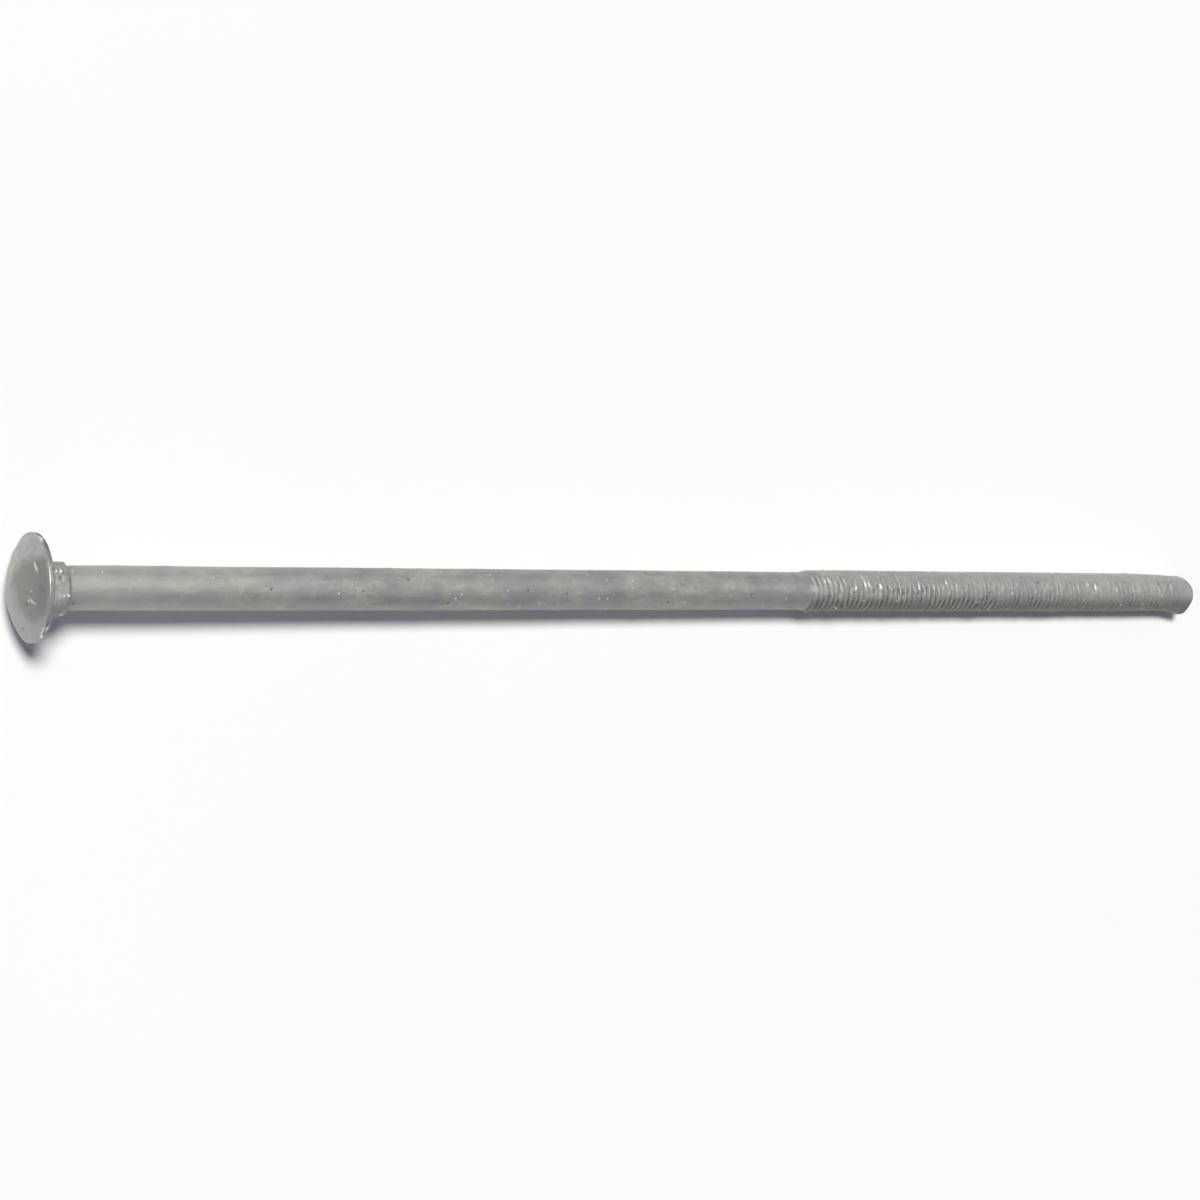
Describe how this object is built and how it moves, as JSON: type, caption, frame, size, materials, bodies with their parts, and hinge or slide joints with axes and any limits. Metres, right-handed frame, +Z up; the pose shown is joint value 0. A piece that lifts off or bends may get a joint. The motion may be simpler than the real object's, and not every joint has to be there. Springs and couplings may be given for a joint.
{
  "type": "carriage bolt",
  "caption": "Long hot-dip galvanised carriage bolt with a low domed head, a square neck, a plain shank and a rolled thread on its last part, for bolting heavy timbers together.",
  "frame": {"origin": "on the bolt's axis, in the plane of the flat bearing face under the head, where the outer face of the timber would be", "axes": "+X along the bolt from the head towards the point; +Y and +Z square to the flats of the neck; the bolt lies along X with +Z up"},
  "size_m": [0.4125, 0.0278, 0.0278],
  "materials": {
    "galvanised_steel": "hot-dip galvanised: satin, cloudy mid-grey zinc with small bright lumps and dark pits"
  },
  "bodies": {
    "root": {"carriage_bolt": "galvanised_steel"}
  },
  "joints": []
}
